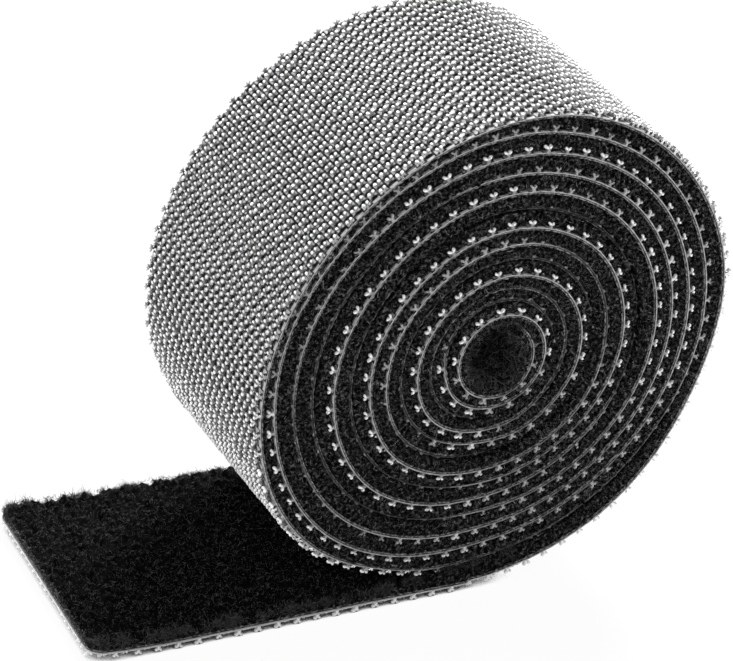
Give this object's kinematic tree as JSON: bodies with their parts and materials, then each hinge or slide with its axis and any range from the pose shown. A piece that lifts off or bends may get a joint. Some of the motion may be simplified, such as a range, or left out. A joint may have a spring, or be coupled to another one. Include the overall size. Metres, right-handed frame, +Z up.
{
  "type": "hook and loop tape roll",
  "caption": "Coreless spiral roll of back-to-back hook and loop tape, hooks outside and black pile inside, with a free tail that curls and an outer lap that unrolls.",
  "frame": {"origin": "on the table under the middle of the whole length, midway across the tape", "axes": "+Z up, +Y along the roll's axis, +X from the tail's free end towards the roll"},
  "size_m": [0.0496, 0.02, 0.0393],
  "materials": {
    "hook_strip": "moulded polypropylene film with a field of fine hooks",
    "bond": "dark laminating adhesive",
    "loop_strip": "brushed black nylon pile"
  },
  "bodies": {
    "roll": {"hook_strip_wound": "hook_strip", "bond_wound": "bond", "loop_strip_wound": "loop_strip"},
    "lap_1": {"hook_strip_lap_1": "hook_strip", "bond_lap_1": "bond", "loop_strip_lap_1": "loop_strip"},
    "lap_2": {"hook_strip_lap_2": "hook_strip", "bond_lap_2": "bond", "loop_strip_lap_2": "loop_strip"},
    "lap_3": {"hook_strip_lap_3": "hook_strip", "bond_lap_3": "bond", "loop_strip_lap_3": "loop_strip"},
    "lap_4": {"hook_strip_lap_4": "hook_strip", "bond_lap_4": "bond", "loop_strip_lap_4": "loop_strip"},
    "lap_5": {"hook_strip_lap_5": "hook_strip", "bond_lap_5": "bond", "loop_strip_lap_5": "loop_strip"},
    "lap_6": {"hook_strip_lap_6": "hook_strip", "bond_lap_6": "bond", "loop_strip_lap_6": "loop_strip"},
    "lap_7": {"hook_strip_lap_7": "hook_strip", "bond_lap_7": "bond", "loop_strip_lap_7": "loop_strip"},
    "lap_8": {"hook_strip_lap_8": "hook_strip", "bond_lap_8": "bond", "loop_strip_lap_8": "loop_strip"},
    "lap_9": {"hook_strip_lap_9": "hook_strip", "bond_lap_9": "bond", "loop_strip_lap_9": "loop_strip"},
    "foot": {"hook_strip_foot": "hook_strip", "bond_foot": "bond", "loop_strip_foot": "loop_strip"},
    "tail_1": {"hook_strip_tail_1": "hook_strip", "bond_tail_1": "bond", "loop_strip_tail_1": "loop_strip"},
    "tail_2": {"hook_strip_tail_2": "hook_strip", "bond_tail_2": "bond", "loop_strip_tail_2": "loop_strip"},
    "tail_3": {"hook_strip_tail_3": "hook_strip", "bond_tail_3": "bond", "loop_strip_tail_3": "loop_strip"},
    "tail_4": {"hook_strip_tail_4": "hook_strip", "bond_tail_4": "bond", "loop_strip_tail_4": "loop_strip"},
    "tail_5": {"hook_strip_tail_5": "hook_strip", "bond_tail_5": "bond", "loop_strip_tail_5": "loop_strip"}
  },
  "joints": [
    {"name": "unroll", "type": "hinge", "parent": "foot", "child": "lap_1", "pos_m": [0.0077, 0, 0.0004], "axis": [0, 1, 0], "range_deg": [0, 15.5], "stiffness_Nm_per_rad": 0.004},
    {"name": "unroll_2", "type": "hinge", "parent": "lap_1", "child": "lap_2", "pos_m": [0.01265, 0, 0.00177], "axis": [0, 1, 0], "range_deg": [0, 15], "stiffness_Nm_per_rad": 0.004},
    {"name": "unroll_3", "type": "hinge", "parent": "lap_2", "child": "lap_3", "pos_m": [0.01707, 0, 0.00438], "axis": [0, 1, 0], "range_deg": [0, 15], "stiffness_Nm_per_rad": 0.004},
    {"name": "unroll_4", "type": "hinge", "parent": "lap_3", "child": "lap_4", "pos_m": [0.02065, 0, 0.00803], "axis": [0, 1, 0], "range_deg": [0, 15], "stiffness_Nm_per_rad": 0.004},
    {"name": "unroll_5", "type": "hinge", "parent": "lap_4", "child": "lap_5", "pos_m": [0.02316, 0, 0.01248], "axis": [0, 1, 0], "range_deg": [0, 15], "stiffness_Nm_per_rad": 0.004},
    {"name": "unroll_6", "type": "hinge", "parent": "lap_5", "child": "lap_6", "pos_m": [0.02443, 0, 0.01741], "axis": [0, 1, 0], "range_deg": [0, 15], "stiffness_Nm_per_rad": 0.004},
    {"name": "unroll_7", "type": "hinge", "parent": "lap_6", "child": "lap_7", "pos_m": [0.02438, 0, 0.02248], "axis": [0, 1, 0], "range_deg": [0, 15], "stiffness_Nm_per_rad": 0.004},
    {"name": "unroll_8", "type": "hinge", "parent": "lap_7", "child": "lap_8", "pos_m": [0.02302, 0, 0.02736], "axis": [0, 1, 0], "range_deg": [0, 15], "stiffness_Nm_per_rad": 0.004},
    {"name": "unroll_9", "type": "hinge", "parent": "lap_8", "child": "lap_9", "pos_m": [0.02045, 0, 0.03171], "axis": [0, 1, 0], "range_deg": [0, 15], "stiffness_Nm_per_rad": 0.004},
    {"name": "unroll_10", "type": "hinge", "parent": "lap_9", "child": "roll", "pos_m": [0.01686, 0, 0.03523], "axis": [0, 1, 0], "range_deg": [0, 15], "stiffness_Nm_per_rad": 0.004},
    {"name": "tail_curl", "type": "hinge", "parent": "foot", "child": "tail_1", "pos_m": [0.00013, 0, 0.0004], "axis": [0, 1, 0], "range_deg": [0, 15], "stiffness_Nm_per_rad": 0.001},
    {"name": "tail_curl_2", "type": "hinge", "parent": "tail_1", "child": "tail_2", "pos_m": [-0.00487, 0, 0.0004], "axis": [0, 1, 0], "range_deg": [0, 15], "stiffness_Nm_per_rad": 0.001},
    {"name": "tail_curl_3", "type": "hinge", "parent": "tail_2", "child": "tail_3", "pos_m": [-0.00987, 0, 0.0004], "axis": [0, 1, 0], "range_deg": [0, 15], "stiffness_Nm_per_rad": 0.001},
    {"name": "tail_curl_4", "type": "hinge", "parent": "tail_3", "child": "tail_4", "pos_m": [-0.01487, 0, 0.0004], "axis": [0, 1, 0], "range_deg": [0, 15], "stiffness_Nm_per_rad": 0.001},
    {"name": "tail_curl_5", "type": "hinge", "parent": "tail_4", "child": "tail_5", "pos_m": [-0.01985, 0, 0.0004], "axis": [0, 1, 0], "range_deg": [0, 15], "stiffness_Nm_per_rad": 0.001}
  ],
  "couplings": [
    {"joint": "unroll_2", "follows": "unroll", "ratio": 0.9677},
    {"joint": "unroll_3", "follows": "unroll", "ratio": 0.9677},
    {"joint": "unroll_4", "follows": "unroll", "ratio": 0.9677},
    {"joint": "unroll_5", "follows": "unroll", "ratio": 0.9677},
    {"joint": "unroll_6", "follows": "unroll", "ratio": 0.9677},
    {"joint": "unroll_7", "follows": "unroll", "ratio": 0.9677},
    {"joint": "unroll_8", "follows": "unroll", "ratio": 0.9677},
    {"joint": "unroll_9", "follows": "unroll", "ratio": 0.9677},
    {"joint": "unroll_10", "follows": "unroll", "ratio": 0.9677},
    {"joint": "tail_curl_2", "follows": "tail_curl", "ratio": 1},
    {"joint": "tail_curl_3", "follows": "tail_curl", "ratio": 1},
    {"joint": "tail_curl_4", "follows": "tail_curl", "ratio": 1},
    {"joint": "tail_curl_5", "follows": "tail_curl", "ratio": 1}
  ]
}
